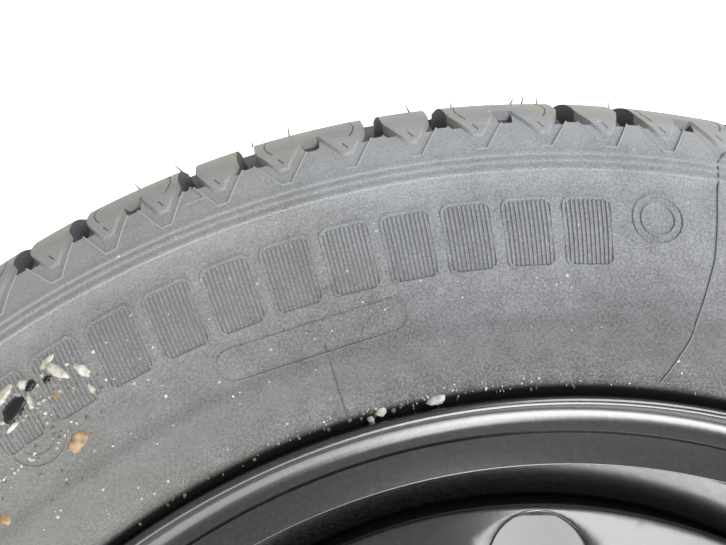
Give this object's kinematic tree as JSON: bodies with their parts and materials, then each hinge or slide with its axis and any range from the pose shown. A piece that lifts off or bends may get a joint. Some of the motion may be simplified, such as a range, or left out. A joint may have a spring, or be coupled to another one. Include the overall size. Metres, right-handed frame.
{
  "type": "spare wheel",
  "caption": "Car spare wheel: pressed steel disc with round vent holes in a rolled rim, a grooved road tyre and a snap-in valve with a sprung core and screw-on cap.",
  "frame": {"origin": "centre of the hub bore, in the plane of the face that bolts to the hub", "axes": "+Z along the wheel's axis, out of the outboard face; the wheel lies face up on its inboard sidewall; the valve is towards -Y"},
  "size_m": [0.6029, 0.603, 0.189],
  "materials": {
    "tyre_rubber": "matt, dusty grey rubber",
    "black_paint": "gloss black paint, a little dusty",
    "valve_rubber": "matt black rubber",
    "brass": "dull turned brass",
    "seal_rubber": "smooth rubber",
    "spring_steel": "bright wire",
    "cap_plastic": "matt black plastic"
  },
  "bodies": {
    "wheel": {"tyre": "tyre_rubber", "rim": "black_paint", "disc": "black_paint", "disc_welds": "black_paint", "valve_body": "valve_rubber", "valve_stem": "brass", "core_housing": "brass", "core_gasket": "seal_rubber", "core_spring": "spring_steel"},
    "pin": {"core_pin": "brass", "core_seal": "seal_rubber"},
    "cap": {"valve_cap": "cap_plastic", "cap_seal": "seal_rubber"}
  },
  "joints": [
    {"name": "pin_press", "type": "slide", "parent": "wheel", "child": "pin", "axis": [0, -0.5683, -0.8228], "range_m": [0, 0.0013], "stiffness_N_per_m": 600, "springref_m": -0.002, "deforming": ["core_spring"]},
    {"name": "cap_off", "type": "slide", "parent": "wheel", "child": "cap", "axis": [0, 0.5683, 0.8228], "range_m": [0, 0.02]}
  ]
}
